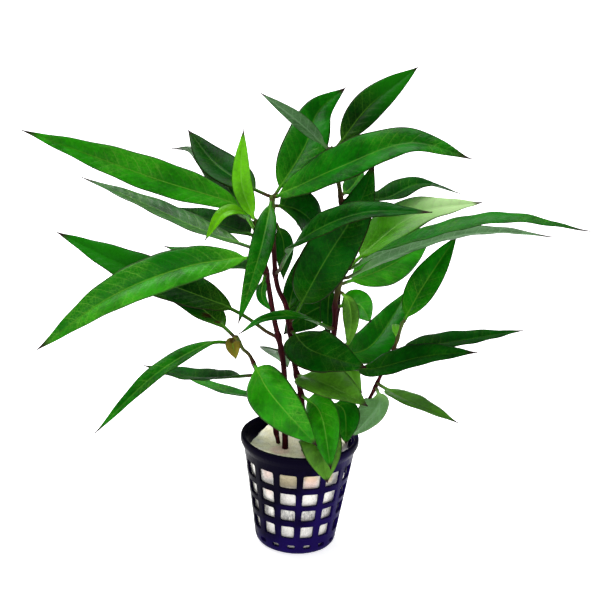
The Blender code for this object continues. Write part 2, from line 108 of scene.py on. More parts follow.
# Each leaf: its tone, the height of its node on the stem, the length of its stalk, the width of its
# blade, the way its upper face looks, the points that its midrib passes through, the last of them
# the tip, and how far its margins stand up for each millimetre from the midrib.
# Several tones paint light and shade into a leaf's colour: sun, shadow over the whole leaf, over its base,
# over one half, and a grey sheen.
PLANT = {
    "left": Stem(
        1.35,
        ((-5, -7, 14), (-6, -8, 47), (-8, -8, 82), (-13, -6, 103), (-17, -4, 122), (-22, -4, 144)),
        (
            Leaf("sunlit", 142, 10, 17, (0, -6, 8), ((-32, -8, 151), (-63, -14, 161.5), (-112, -22, 180))),
            Leaf("young", 144, 2, 8, (1, -6, 1), ((-28, -10, 161), (-27.5, -16, 183)), fold=0.5),
            Leaf(
                "young", 139, 9, 7, (0, -3, 8),
                ((-27, -14, 149), (-34.5, -18, 149), (-41, -21, 139)), fold=0.3,
            ),
            Leaf("frosted", 138, 8, 13, (0, -4, 8), ((-38, 30, 150), (-51, 48, 157), (-61, 52, 157))),
            Leaf("frosted", 131, 8, 14, (0, -1, 8), ((-45, 4, 136), (-68, 12, 143), (-95, 20, 151))),
            Leaf("deep", 136, 6, 15, (0, -4, 8), ((-40, 25, 133), (-59, 48, 132))),
            Leaf("creased", 128.5, 6, 17, (0, -7, 7), ((-47, -14, 126), (-77, -24, 115), (-106, -30, 93))),
            Leaf("shaded", 122, 8, 15, (0, -2, 8), ((-37, 22, 116), (-63, 45, 115))),
            Leaf("shaded", 121, 3, 5, (-3, -6, 2), ((-18, -14, 115), (-14, -18, 110))),
            Leaf("dusky", 95, 22, 18, (0, -6, 8), ((-31, 2, 103), (-69, 12, 113), (-106, 20, 127))),
            Leaf("deep", 89, 4, 14, (0, 2, 8), ((-12, 14, 80), (-6.5, 30, 67))),
            Leaf("shaded", 69, 10, 9, (0, 0, 8), ((-29, 14, 60), (-58, 44, 57))),
        ),
    ),
    "middle": Stem(
        1.3,
        ((2, -8, 14), (2, -9, 46), (0, -6, 67), (-4, -2, 83), (-8, 2, 104), (-13, 3, 117), (-16, 4, 152)),
        (
            Leaf("shaded", 150, 3, 9, (0, -8, 4), ((-19, -24, 137), (-26, -44, 113))),
            Leaf("deep", 140, 3, 8, (2, -7, 2), ((-10.5, 8, 130), (-10, 9.5, 114))),
            Leaf("shaded", 151, 2, 20, (0, -5, 7), ((10, -10, 168), (36, -18, 181), (60, -26, 178))),
            Leaf("shaded", 151, 5, 18, (0, -9, 4), ((-4, 24, 167), (1, 38, 179), (12.4, 48, 188))),
            Leaf("deep", 147, 3, 18, (0, -6, 5), ((-8, 12, 144.5), (-2, 17, 140), (6, 24, 129.5))),
            Leaf("deep", 119, 22, 14, (0, -4, 8), ((-4, -22, 141), (18, -32, 156), (45, -42, 161))),
            Leaf("deep", 99, 12, 20, (0, -9, 2), ((6, -14, 130), (18, -14, 153), (24, -6, 170))),
            Leaf("deep", 102, 3, 8, (0, -8, 2), ((-6.5, 12, 106), (-4.4, 16, 113.4), (-0.9, 20, 126.4))),
            Leaf("deep", 95, 3, 20, (0, -6, 6), ((2, -14, 93), (14.4, -22, 92), (25, -26, 91))),
            Leaf("olive", 77, 4, 18, (0, -4, 8), ((5, -17, 81), (15, -26, 80.5), (26, -35.5, 78.5))),
            Leaf("sunlit", 69, 5, 14, (0, -8, 3), ((8, -22, 68), (13, -33, 49))),
            Leaf("olive", 54, 5, 17, (0, -6, 6), ((8, -23, 57), (12, -28, 40.5))),
            Leaf("deep", 151, 8, 16, (0, -5, 8), ((-27.5, 14, 153), (-41, 30, 157), (-54, 48, 166.5))),
        ),
    ),
    "right": Stem(
        1.3,
        ((6, -6, 14), (5, -7, 46), (9, -2, 71), (12, 3, 95), (12, 4, 108), (15, 4, 125)),
        (
            Leaf("shaded", 122, 8, 17, (0, -1, 12), ((36, -12, 138), (73, -22, 153), (107, -30, 153))),
            Leaf(
                "frosted", 118, 8, 12, (0, 6, 7),
                ((34, -2, 130.5), (55, -4, 140), (75, -8, 144.5), (96, -10, 144)),
            ),
            Leaf("bleached", 122, 8, 21, (0, -2, 8), ((42, 22, 140), (73, 40, 143))),
            Leaf("sunlit", 115, 8, 17, (0, -8, 5), ((33, 32, 114), (54, 62, 118))),
            Leaf("olive", 112, 2, 7, (0, -8, 1), ((17.5, 5, 107), (19, 6, 97), (18, 5.5, 86.5))),
            Leaf("sunlit", 105, 3, 12, (0, -7, 4), ((22, 16, 102.5), (28, 24, 92))),
            Leaf("shaded", 85, 6, 16, (0, -6, 5), ((29, 25, 81), (46, 56, 97))),
            Leaf("deep", 82, 18, 14, (0, -5, 8), ((26, -18, 87), (47, -34, 100), (66, -46, 107.5))),
            Leaf("olive", 78, 3, 9, (0, -8, 2), ((18.6, 12, 75), (22, 14, 69), (25.8, 16, 62.4))),
            Leaf("shaded", 66, 5, 12, (0, -5, 6), ((17.5, -9.5, 65), (19, -19, 54))),
            Leaf("shaded", 96, 12, 8, (0, -2, 8), ((-2, -18, 108), (-16, -30, 111), (-26, -35, 106))),
            Leaf("deep", 113, 2, 7, (0, -8, 1), ((9.4, 7.5, 109), (9.2, 9, 99), (10, 9.5, 89.5))),
        ),
    ),
    "back": Stem(
        1.2,
        ((6, 3, 14), (5, 4, 45), (10, 10, 70), (13, 12, 100), (13, 13, 131), (12, 13, 149), (7, 13, 171)),
        (
            Leaf("frosted", 170, 4, 7, (0, 8, 4), ((-8, 2, 184), (-22, -4, 195))),
            Leaf("dusky", 169, 5, 13, (0, -8, 4), ((22, 28, 185), (42, 44, 199))),
            Leaf("shaded", 150, 4, 8, (0, -8, 4), ((17, 30, 150), (22, 48, 153))),
            Leaf("deep", 148, 12, 14, (0, -1, 8), ((31, 28, 146), (46, 42, 149), (65, 56, 142))),
            Leaf("deep", 102, 3, 14, (0, -7, 3), ((7, 16, 101), (-1, 19, 95), (-9, 20, 86))),
        ),
    ),
    "right_shoot": Stem(
        0.9,
        ((14, 2, 18), (16, 1, 46), (27, 0, 64), (33, 0, 79), (37, 0, 89), (40, 0, 102)),
        (
            Leaf("shaded", 101, 3, 13, (-2, -7, 4), ((48, 12, 113), (62, 26, 132))),
            Leaf("young", 94, 1, 4, (0, -2, 8), ((38, 12, 95), (37, 20, 93))),
            Leaf("deep", 89, 5, 14, (0, -1, 8), ((62, 20, 86), (96, 42, 85))),
            Leaf("olive", 74, 8, 12, (0, 0, 8), ((43, -24, 76.5), (61, -44, 77))),
            Leaf("pale", 72, 2, 13, (-1, 6, 1), ((32, -5, 67), (26, -9, 59), (21, -11, 54))),
        ),
    ),
    "left_shoot": Stem(
        1.0,
        ((-8, -2, 16), (-9, -3, 46), (-20, -12, 84), (-25, -14, 92), (-28, -15, 98)),
        (
            Leaf("spotted", 96, 10, 15, (0, -3, 8), ((-37.5, 0, 99), (-56, 18, 105), (-73, 34, 107))),
            Leaf("tawny", 97.5, 1.5, 6, (0, -8, 4), ((-28.8, -20, 96.5), (-27, -25, 91.5))),
            Leaf("shaded", 95, 10, 9, (0, -2, 8), ((-39, -22, 96), (-59, -32, 85.5), (-81, -42, 64))),
            Leaf("sunlit", 85, 2, 19, (-3, -8, 3), ((-12, -27, 77.5), (7, -34, 59.5)), fold=0.2),
            Leaf("deep", 79, 10, 14, (0, -1, 8), ((-44, 12, 67.5), (-70, 34, 63))),
        ),
    ),
}


def length_setting(name, description, millimetres):
    """A length that the sidebar shows in the scene's unit."""
    return FloatProperty(
        name=name, description=description, default=millimetres * MM, min=0, precision=5,
        subtype="DISTANCE", unit="LENGTH",
    )


def angle_setting(name, description, degrees):
    return FloatProperty(
        name=name, description=description, default=math.radians(degrees), subtype="ANGLE",
    )


def plain_setting(name, description, number):
    """A number without a unit, such as a share or a brightness."""
    return FloatProperty(name=name, description=description, default=number, min=0)


def colour_setting(name, description, colour):
    return FloatVectorProperty(
        name=name, description=description, default=colour, min=0, max=1, size=3, subtype="COLOR",
    )


class LeafSettings(PropertyGroup):
    """What every leaf shares, and the colours of the leaf tones."""

    vein_spacing: length_setting("Vein spacing", "Room between side veins along the midrib", 4.6)
    blade_thickness: length_setting("Blade thickness", "Thickness of the blade between veins", 0.3)
    quilting: length_setting("Quilting", "How far the blade rises between side veins", 0.09)
    margin_wave: length_setting("Margin wave", "How far the margins wave up and down", 0.22)
    sunlit: colour_setting("Sunlit leaf", "Upper face of a leaf in the light", (0.018, 0.255, 0.001))
    shaded: colour_setting("Shaded leaf", "Upper face of a half-shaded leaf", (0.004, 0.145, 0.001))
    # Painted shade: the near-black green of leaves that lie in the shadow of others
    deep: colour_setting("Deep leaf", "Upper face of an old, dark leaf", (0.001, 0.070, 0.001))
    young: colour_setting("Young leaf", "Upper face of a fresh leaf", (0.120, 0.420, 0.001))
    # Painted shade: a leaf's base near-black where it lies in the shadow of others, its outer part a
    # lighter green
    dusky: colour_setting("Dusky leaf", "Base of a leaf that is darkest there", (0.001, 0.045, 0.001))
    # Painted shade: a leaf with one half darkened as if in its own shade; this is the colour of its lighter
    # half
    creased: colour_setting("Creased leaf", "Lighter half of a two-toned leaf", (0.030, 0.270, 0.006))
    # Painted sheen: the grey in this green stands in for the grey sheen that light leaves on such leaves
    frosted: colour_setting("Frosted leaf", "Upper face of a leaf with a grey bloom", (0.028, 0.130, 0.022))
    bleached: colour_setting("Bleached leaf", "Base of a leaf that pales outwards", (0.060, 0.270, 0.003))
    spotted: colour_setting("Spotted leaf", "Upper face of a leaf with brown spots", (0.002, 0.085, 0.001))
    olive: colour_setting("Olive leaf", "Upper face of a dull, yellowing leaf", (0.080, 0.240, 0.014))
    tawny: colour_setting("Tawny leaf", "Upper face of a withering leaf", (0.230, 0.170, 0.020))
    pale: colour_setting("Pale leaf", "Upper face of a greyish green leaf", (0.190, 0.330, 0.110))
    underside: colour_setting("Underside", "Lower face of every leaf", (0.070, 0.170, 0.060))
    midrib: colour_setting("Midrib", "Pale midrib and veins", (0.170, 0.480, 0.040))
    tip: colour_setting("Tip and margin", "Purplish brown of tips and margins", (0.020, 0.005, 0.007))


class StemSettings(PropertyGroup):
    """The look of the stems."""

    node_swelling: plain_setting("Node swelling", "Share by which a node is thicker than its stem", 0.35)
    bark: colour_setting("Bark", "Purple-brown of an old stem", (0.022, 0.0022, 0.0040))
    flush: colour_setting("Flush", "Pinkish streaks on the bark", (0.110, 0.012, 0.018))
    growing: colour_setting("Growing tip", "Green of a stem's youngest stretch", (0.070, 0.130, 0.022))


class PotSettings(PropertyGroup):
    """The look of the net pot."""

    window_corner: length_setting("Window corner", "Radius of the windows' corners", 0.8)
    slot_corner: length_setting("Slot corner", "Radius of the foot slots' corners", 0.85)
    edge: length_setting("Edge", "Radius of the moulded edges", 0.22)
    plastic: colour_setting("Plastic", "Black plastic with a violet tint", (0.0016, 0.0010, 0.006))
    # The violet that the plastic turns towards its foot, and higher up on its right side as painted light
    violet: colour_setting("Violet plastic", "Thinner plastic towards the foot", (0.008, 0.003, 0.060))
    scuffed: colour_setting("Scuffed plastic", "Plastic gone dull with handling", (0.007, 0.005, 0.028))


class RockwoolSettings(PropertyGroup):
    """The look of the rockwool plug."""

    fluff: length_setting("Fluff", "How far the surface rises and falls", 0.7)
    threads: IntProperty(name="Threads", description="Loose threads on the surface", default=900, min=0)
    wool: colour_setting("Wool", "Clean rockwool", (0.93, 0.91, 0.86))
    # The grey that the wool turns in a band at the height of the third row of windows, and low down
    grey: colour_setting("Grey wool", "Thin rockwool that shows the dark inside", (0.17, 0.17, 0.18))
    damp: colour_setting("Damp wool", "Rockwool where it is damp", (0.56, 0.47, 0.26))
    top: colour_setting("Dry top", "The cream top of the plug", (0.97, 0.92, 0.68))
    rosy: colour_setting("Rosy wool", "Pinkish patches around the stems", (0.86, 0.56, 0.48))


class StudioSettings(PropertyGroup):
    """Floor, lights and camera."""

    floor_size: length_setting("Floor size", "Side of the square floor", 8000)
    floor_colour: colour_setting("Floor colour", "Pale matte floor", (0.93, 0.93, 0.93))
    floor_glow: plain_setting("Floor glow", "Light that the floor gives", 0.65)
    sky: plain_setting("Sky", "Brightness of the soft light all round", 0.45)
    key_strength: plain_setting("Key light", "Strength of the light above", 4.9)
    fill_strength: plain_setting("Fill light", "Strength of the light in front", 1.2)
    light_spread: angle_setting("Light spread", "How wide the two lights are", 38)
    camera_place: FloatVectorProperty(
        name="Camera", description="Where the camera stands", default=(-0.0027, -0.6, 0.3207),
        size=3, subtype="TRANSLATION", unit="LENGTH",
    )
    camera_pitch: angle_setting("Pitch", "How far the camera looks down", 19.44)
    camera_roll: angle_setting("Roll", "How far the camera is turned about its own axis", 2.74)
    lens: FloatProperty(name="Lens", description="Focal length", default=93.24, unit="CAMERA")


# The share of a coloured spot's reach in which it has its full colour
SPOT_CORE = 0.4


class Wiring:
    """Adds nodes to one material and joins them up."""

    def __init__(self, name):
        self.material = bpy.data.materials.new(name)
        self.material.use_nodes = True
        self.tree = self.material.node_tree
        self.shader = self.tree.nodes["Principled BSDF"]
        self.output = self.tree.nodes["Material Output"]

    def node(self, kind, **settings):
        made = self.tree.nodes.new(kind)
        for key, value in settings.items():
            setattr(made, key, value)
        return made

    def join(self, value, socket):
        """Links a socket, or sets a plain value."""
        if isinstance(value, bpy.types.NodeSocket):
            self.tree.links.new(value, socket)
        elif hasattr(socket.default_value, "__len__") and len(socket.default_value) == 4:
            socket.default_value = (*value, 1.0)
        else:
            socket.default_value = value

    def feed(self, step, values):
        """Links or sets each of a node's named inputs."""
        for name, value in values.items():
            self.join(value, step.inputs[name])

    def arithmetic(self, operation, *values):
        step = self.node("ShaderNodeMath", operation=operation)
        for value, socket in zip(values, step.inputs):
            self.join(value, socket)
        return step.outputs[0]

    def plus(self, first, second):
        return self.arithmetic("ADD", first, second)

    def minus(self, first, second):
        return self.arithmetic("SUBTRACT", first, second)

    def times(self, first, second):
        return self.arithmetic("MULTIPLY", first, second)

    def highest(self, first, second):
        return self.arithmetic("MAXIMUM", first, second)

    def span(self, value, low, high, at_low=0.0, at_high=1.0):
        """A value brought from one range to another, smoothly and within it."""
        step = self.node("ShaderNodeMapRange", interpolation_type="SMOOTHSTEP")
        for given, socket in zip((value, low, high, at_low, at_high), step.inputs):
            self.join(given, socket)
        return step.outputs["Result"]

    def mix(self, share, first, second):
        """Two colours mixed."""
        step = self.node("ShaderNodeMix", data_type="RGBA")
        self.join(share, step.inputs["Factor"])
        self.join(first, step.inputs[6])
        self.join(second, step.inputs[7])
        return step.outputs[2]

    def axes(self, vector):
        """The X, Y and Z of a vector."""
        step = self.node("ShaderNodeSeparateXYZ")
        self.join(vector, step.inputs[0])
        return step.outputs

    def place(self, stretch=(1, 1, 1)):
        """Object coordinates in millimetres, stretched along an axis where asked."""
        step = self.node("ShaderNodeMapping")
        coords = self.node("ShaderNodeTexCoord").outputs["Object"]
        self.feed(step, {"Vector": coords, "Scale": [s / MM for s in stretch]})
        return step.outputs["Vector"]

    def noise(self, where, scale, detail=3.0, roughness=0.55, distortion=0.0):
        step = self.node("ShaderNodeTexNoise")
        self.feed(step, {
            "Vector": where, "Scale": scale, "Detail": detail, "Roughness": roughness,
            "Distortion": distortion,
        })
        return step.outputs["Fac"]

    def cell_borders(self, where, scale, width):
        """One on the borders between the cells of a net, nought inside them."""
        step = self.node("ShaderNodeTexVoronoi", feature="DISTANCE_TO_EDGE")
        self.feed(step, {"Vector": where, "Scale": scale})
        return self.span(step.outputs["Distance"], 0.0, width, 1.0, 0.0)

    def patches(self, where, spots, ragged):
        """One inside any of the spots (centre, reach), their borders made ragged by a noise."""
        near = 0.0
        for centre, reach in spots:
            gap = self.node("ShaderNodeVectorMath", operation="DISTANCE")
            self.join(where, gap.inputs[0])
            self.join(centre, gap.inputs[1])
            border = self.plus(gap.outputs["Value"], self.times(self.minus(ragged, 0.5), reach))
            near = self.highest(near, self.span(border, reach, reach * SPOT_CORE))
        return near

    def attribute(self, name):
        return self.node("ShaderNodeAttribute", attribute_name=name).outputs["Fac"]

    def bump(self, height, strength, millimetres):
        step = self.node("ShaderNodeBump")
        self.feed(step, {"Height": height, "Strength": strength, "Distance": millimetres * MM})
        self.join(step.outputs["Normal"], self.shader.inputs["Normal"])
        return step.outputs["Normal"]


def tinted(colour, gain, lift=(0, 0, 0)):
    """A colour made lighter or darker."""
    return [min(1, channel * gain + more) for channel, more in zip(colour, lift)]


def new_mesh(name, bm):
    """A mesh made of a bmesh that isn't needed any more."""
    mesh = bpy.data.meshes.new(name)
    bm.to_mesh(mesh)
    bm.free()
    return mesh


def mesh_object(name, bm, finish):
    """A finished piece from a bmesh: smooth, at the origin, with its own place in its mesh."""
    mesh = new_mesh(name, bm)
    mesh.shade_smooth()
    mesh.materials.append(finish)
    made = bpy.data.objects.new(name, mesh)
    bpy.context.scene.collection.objects.link(made)
    return made


def dress(piece, slot, *nodes):
    """Puts a piece on the plant's one body, in place of the frame's nodes. The slot it is given is not
    used.
    """
    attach(piece, "root")
    if nodes:
        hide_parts(*nodes)


# Points on each stretch of a route between two of the given ones
ROUTE_STEPS = 40


def route_points(points):
    """A close run of points on a smooth curve through the given ones (Catmull-Rom)."""
    stops = [Vector(p) for p in points]
    stops = [2 * stops[0] - stops[1], *stops, 2 * stops[-1] - stops[-2]]
    close = []
    for before, start, end, after in zip(stops, stops[1:], stops[2:], stops[3:]):
        for step in range(ROUTE_STEPS):
            t = step / ROUTE_STEPS
            close.append(0.5 * (
                2 * start
                + (end - before) * t
                + (2 * before - 5 * start + 4 * end - after) * t ** 2
                + (3 * start - before - 3 * end + after) * t ** 3
            ))
    close.append(stops[-2])
    return close


def route_length(close):
    return sum((b - a).length for a, b in zip(close, close[1:]))


def points_along(close, shares):
    """The place and heading at each share of the route's length, in rising order."""
    total = route_length(close)
    found = []
    passed = 0.0
    number = 0
    for share in shares:
        wanted = share * total
        while number < len(close) - 2 and passed + (close[number + 1] - close[number]).length < wanted:
            passed += (close[number + 1] - close[number]).length
            number += 1
        start, end = close[number], close[number + 1]
        part = (wanted - passed) / (end - start).length
        found.append((start.lerp(end, part), (end - start).normalized()))
    return found


def point_at_height(close, height):
    """The place and heading of a stem at a height."""
    for a, b in zip(close, close[1:]):
        if height <= b.z or b is close[-1]:
            return a.lerp(b, (height - a.z) / (b.z - a.z)), (b - a).normalized()


def rod(rings, sides, *names):
    """A capped rod of many rings, ready for each ring to be moved to its place.

    Gives the bmesh, (vertex, ring, angle) for each vertex, and a layer of numbers for each name.
    """
    bm = bmesh.new()
    layers = {name: bm.verts.layers.float.new(name) for name in names}
    bmesh.ops.create_cone(bm, cap_ends=True, segments=sides, radius1=1, radius2=1, depth=2)
    lengthwise = [e for e in bm.edges if abs(e.verts[0].co.z - e.verts[1].co.z) > 1]
    bmesh.ops.subdivide_edges(bm, edges=lengthwise, cuts=rings - 2, use_grid_fill=True)
    places = []
    for vert in bm.verts:
        ring = round((vert.co.z + 1) / 2 * (rings - 1))
        places.append((vert, ring, math.atan2(vert.co.y, vert.co.x)))
    return bm, places, layers


def stem_radius(stem, share):
    return stem.radius * (1 - STEM_TAPER * share)


def leaf_route(leaf, stem, stem_close):
    """The midrib's close run of points, from beside the stem to the tip, and its node in the stem."""
    on_stem, along = point_at_height(stem_close, leaf.node)
    heading = Vector(leaf.route[0]) - on_stem
    outward = (heading - along * heading.dot(along)).normalized()
    share = (leaf.node - stem_close[0].z) / (stem_close[-1].z - stem_close[0].z)
    reach = stem_radius(stem, min(share, 1)) + STALK_RADIUS
    return route_points((on_stem + outward * reach, *leaf.route)), on_stem


def half_width(leaf, blade):
    """Half of the leaf's width at a share of its blade: quick to widen, slow to the point."""
    widest = BLADE_BASE_POWER / (BLADE_BASE_POWER + BLADE_TIP_POWER)
    grows = (blade / widest) ** BLADE_BASE_POWER
    narrows = ((1 - blade) / (1 - widest)) ** BLADE_TIP_POWER
    return max(STALK_RADIUS * (1 - blade), leaf.width / 2 * grows * narrows)


# The leaf's rings: how many vertices each has, how many the stalk has, and how close they are
BLADE_SIDES = 32
STALK_RINGS = 5
FEWEST_STEPS = 20
RING_STEP = 0.85

# The round stalk has become the flat blade after one part in this many of the blade's length
FLATTENING = 9

# The midrib: a groove in the upper face and a keel under the lower one, which fade towards the tip
MIDRIB_WIDTH = 0.55
MIDRIB_GROOVE = 0.18
MIDRIB_KEEL = 0.5
MIDRIB_FADE = 0.8

# How far a side vein leans and then bends towards the tip, for each millimetre from the midrib
VEIN_SLANT = 0.8
VEIN_ARC = 0.035

# The blade's form: how far each half is crowned, as a share of its width, and how sharp the
# margin is. A blade is quilted less under QUILT_WIDTH, and where a half is under QUILT_HALF wide
# or the midrib nearer than QUILT_START. It is waved less where a half is under WAVE_HALF wide.
CROWN = 0.09
MARGIN_EDGE = 4
QUILT_START = 1.2
QUILT_WIDTH = 12
QUILT_HALF = 4
WAVE_WIDTH = 16
WAVE_HALF = 3
WAVE_LENGTHS = (13, 20)

# How much lighter or darker than its tone one leaf may be
SHADE_RANGE = (0.85, 1.15)

# The share of the way to the middle of the stem that a stalk's foot is drawn
STALK_SINK = 0.6

LEAF_LAYERS = ("upper", "edge", "tip", "stalk", "shade")
LEAF_SEED = 7


def is_upper(angle):
    """Whether a point of a ring is on the leaf's upper face, to which its margins belong."""
    return math.sin(angle) >= -0.001


def skin_height(angle, off_midrib, blade, flat, skin):
    """How high the skin lies over the midrib's line: a round stalk, then a thin blade with a midrib."""
    rib = math.exp(-((off_midrib / MIDRIB_WIDTH) ** 2)) * (1 - blade * MIDRIB_FADE)
    thin = skin * min(1, math.sin(abs(angle)) * MARGIN_EDGE)
    if is_upper(angle):
        thin -= MIDRIB_GROOVE * rib * flat
    else:
        thin = -thin - MIDRIB_KEEL * rib * flat
    return thin * flat + STALK_RADIUS * math.sin(angle) * (1 - flat)


def blade_lift(leaf, settings, half, across, along, wave):
    """How far the blade rises from its midrib: folded, quilted, and waved at its margins."""
    x = across * half
    vein = (along - VEIN_SLANT * abs(x) - VEIN_ARC * x * x) / (settings.vein_spacing / MM)
    if x > 0:
        vein += 0.5
    body = (1 - abs(across) ** 3) * min(1, abs(x) / QUILT_START) * min(1, half / QUILT_HALF)
    quilting = settings.quilting / MM * min(1, leaf.width / QUILT_WIDTH)
    margin_wave = settings.margin_wave / MM * leaf.width / WAVE_WIDTH
    lift = leaf.fold * max(0, half - STALK_RADIUS) * abs(across)
    lift -= quilting * body * math.cos(math.tau * vein)
    lift += margin_wave * across * across * math.sin(wave) * min(1, half / WAVE_HALF)
    return lift


def grow_leaf(name, leaf, stem, stem_close, finish, settings, rng):
    """One leaf as a closed skin: a rod whose rings flatten from the round stalk into the blade."""
    close, on_stem = leaf_route(leaf, stem, stem_close)
    length = route_length(close)
    stalk = leaf.stalk / length
    blade_length = length - leaf.stalk
    steps = max(FEWEST_STEPS, round(blade_length / RING_STEP))
    shares = [stalk * i / STALK_RINGS for i in range(STALK_RINGS)]
    shares += [stalk + (1 - stalk) * i / steps for i in range(steps + 1)]
    blades = [min(1.0, max(0.0, (share - stalk) / (1 - stalk))) for share in shares]
    frames = points_along(close, shares)
    skin = settings.blade_thickness / MM / 2
    phases = (rng.uniform(0, math.tau), rng.uniform(0, math.tau))
    wave_length = rng.uniform(*WAVE_LENGTHS)
    shade = rng.uniform(*SHADE_RANGE)
    bm, places, layers = rod(len(shares), BLADE_SIDES, *LEAF_LAYERS)
    for vert, ring, angle in places:
        blade = blades[ring]
        place, heading = frames[ring]
        side = Vector(leaf.face).cross(heading).normalized()
        up = heading.cross(side)
        flat = min(1.0, blade * FLATTENING)
        half = max(half_width(leaf, blade), skin)
        across = (1 - 2 * abs(angle) / math.pi) * flat + math.cos(angle) * (1 - flat)
        along = blade * blade_length
        wave = math.tau * along / wave_length + phases[0 if across > 0 else 1]
        height = skin_height(angle, across * half, blade, flat, skin)
        height += blade_lift(leaf, settings, half, across, along, wave)
        height += CROWN * half * math.sin(math.pi * abs(across)) * flat
        vert.co = (place + side * across * half + up * height) * MM
        vert[layers["tip"]] = blade
        vert[layers["edge"]] = abs(across)
        vert[layers["upper"]] = 1.0 if is_upper(angle) else 0.0
        vert[layers["stalk"]] = 1 - min(1, shares[ring] / stalk)
        vert[layers["shade"]] = shade
    sink_stalk(places, on_stem)
    add_leaf_map(bm, places, blades, blade_length, leaf)
    return mesh_object(name, bm, finish)


def sink_stalk(places, on_stem):
    """Draws the stalk's first ring into the stem, so that no gap shows."""
    first = [vert for vert, ring, angle in places if ring == 0]
    middle = sum((vert.co for vert in first), Vector()) / len(first)
    for vert in first:
        vert.co += (on_stem * MM - middle) * STALK_SINK


def add_leaf_map(bm, places, blades, blade_length, leaf):
    """Maps the blade flat at true scale, the same for its upper and its lower face."""
    layer = bm.loops.layers.uv.new("LeafMap")
    spots = {}
    for vert, ring, angle in places:
        blade = blades[ring]
        across = (1 - 2 * abs(angle) / math.pi) * half_width(leaf, blade)
        spots[vert] = (0.5 + across / LEAF_MAP[0], blade * blade_length / LEAF_MAP[1])
    for face in bm.faces:
        for loop in face.loops:
            loop[layer].uv = spots[loop.vert]


# For each tone, how much its veins stand out, and the index of refraction of its waxy skin
LEAF_TONES = {
    "sunlit": (0.8, 1.17),
    "shaded": (0.5, 1.14),
    "deep": (0.25, 1.10),
    "young": (0.7, 1.20),
    "frosted": (0.7, 1.30),
    "bleached": (1.0, 1.20),
    "dusky": (0.35, 1.12),
    "creased": (0.8, 1.17),
    "spotted": (0.9, 1.12),
    "olive": (0.6, 1.20),
    "tawny": (0.5, 1.15),
    "pale": (0.9, 1.25),
}

# For some tones, the colour of the outer part of the blade, or of one half of it. A bleached tip is
# the leaf's own colour. The others are painted shade: a base in shadow that grows lighter outwards,
# and one half of a blade darker as in its own shade.
OUTER_COLOURS = {"bleached": (0.400, 0.560, 0.260), "dusky": (0.008, 0.165, 0.002)}
SHADED_HALF_COLOURS = {"creased": (0.002, 0.085, 0.001)}

# For some tones, dead brown spots: the middle of each and its reach
LEAF_SPOTS = {
    "spotted": (((-41, 1, 99), 3.2), ((-36, -3, 98), 2.0)),
    "bleached": (((57, 33, 140), 1.6),),
    "tawny": (((-29, -19, 97), 2.0),),
}
DEAD_BROWN = (0.060, 0.028, 0.006)
STALK_FOOT = (0.060, 0.018, 0.016)

# Where the edges of the drawn veins lie: in shares of the room between two side veins, and in
# millimetres from the middle of the midrib. Side veins wander by a share of the room too.
VEIN_EDGE = (0.010, 0.055)
MIDRIB_EDGE = (0.10, 0.34)
VEIN_WANDER = 0.25

# The brown begins and is full at these shares of the way to the margin or tip, and its border is
# ragged by so much
BROWN_EDGE = (0.90, 0.975)
BROWN_RAGGED = 0.06

# How strongly each marking, and the painted shade of one half, colours the leaf, from nought to one.
# A side vein has two: everywhere, and more in the veined patches. The midrib has two: at the base
# and at the tip.
LIGHT_MOTTLES = 0.4
HALF_SHADE_STRENGTH = 0.85
NET_STRENGTH = 0.4
FINE_NET_STRENGTH = 0.5
VEIN_STRENGTHS = (0.1, 0.5)
MIDRIB_STRENGTHS = (0.9, 0.15)
RIBS_BELOW = 0.7
NET_BELOW = 0.3
FRESH_BASE = 0.6
SPOT_STRENGTH = 0.9
MARGIN_STRENGTH = 0.8
FOOT_STRENGTH = 0.85

# The relief of veins, net and mottles, as shares of the bump's height
VEIN_DEPTH = 0.7
NET_DEPTH = 0.35
MOTTLE_RISE = 0.3

# The leaf's finish: its smoothest and roughest, and the share of the light that goes through it
LEAF_ROUGHNESS = (0.28, 0.44)
LIGHT_THROUGH = 0.3
RIBS_OPAQUE = 0.5


def vein_pattern(w, where, settings):
    """The side veins and the midrib, one on them and nought beside them, and the place across."""
    uv = w.axes(w.node("ShaderNodeUVMap", uv_map="LeafMap").outputs["UV"])
    across = w.times(w.minus(uv["X"], 0.5), LEAF_MAP[0])
    along = w.times(uv["Y"], LEAF_MAP[1])
    off_midrib = w.arithmetic("ABSOLUTE", across)
    arc = w.times(w.times(off_midrib, off_midrib), VEIN_ARC)
    reach = w.minus(w.minus(along, w.times(off_midrib, VEIN_SLANT)), arc)
    half_step = w.times(w.arithmetic("GREATER_THAN", across, 0.0), 0.5)
    count = w.plus(w.arithmetic("DIVIDE", reach, settings.vein_spacing / MM), half_step)
    count = w.plus(count, w.times(w.noise(where, scale=0.25, detail=2.0), VEIN_WANDER))
    vein = w.span(w.arithmetic("PINGPONG", count, 0.5), *VEIN_EDGE, 1.0, 0.0)
    midrib = w.span(off_midrib, *MIDRIB_EDGE, 1.0, 0.0)
    return vein, midrib, across


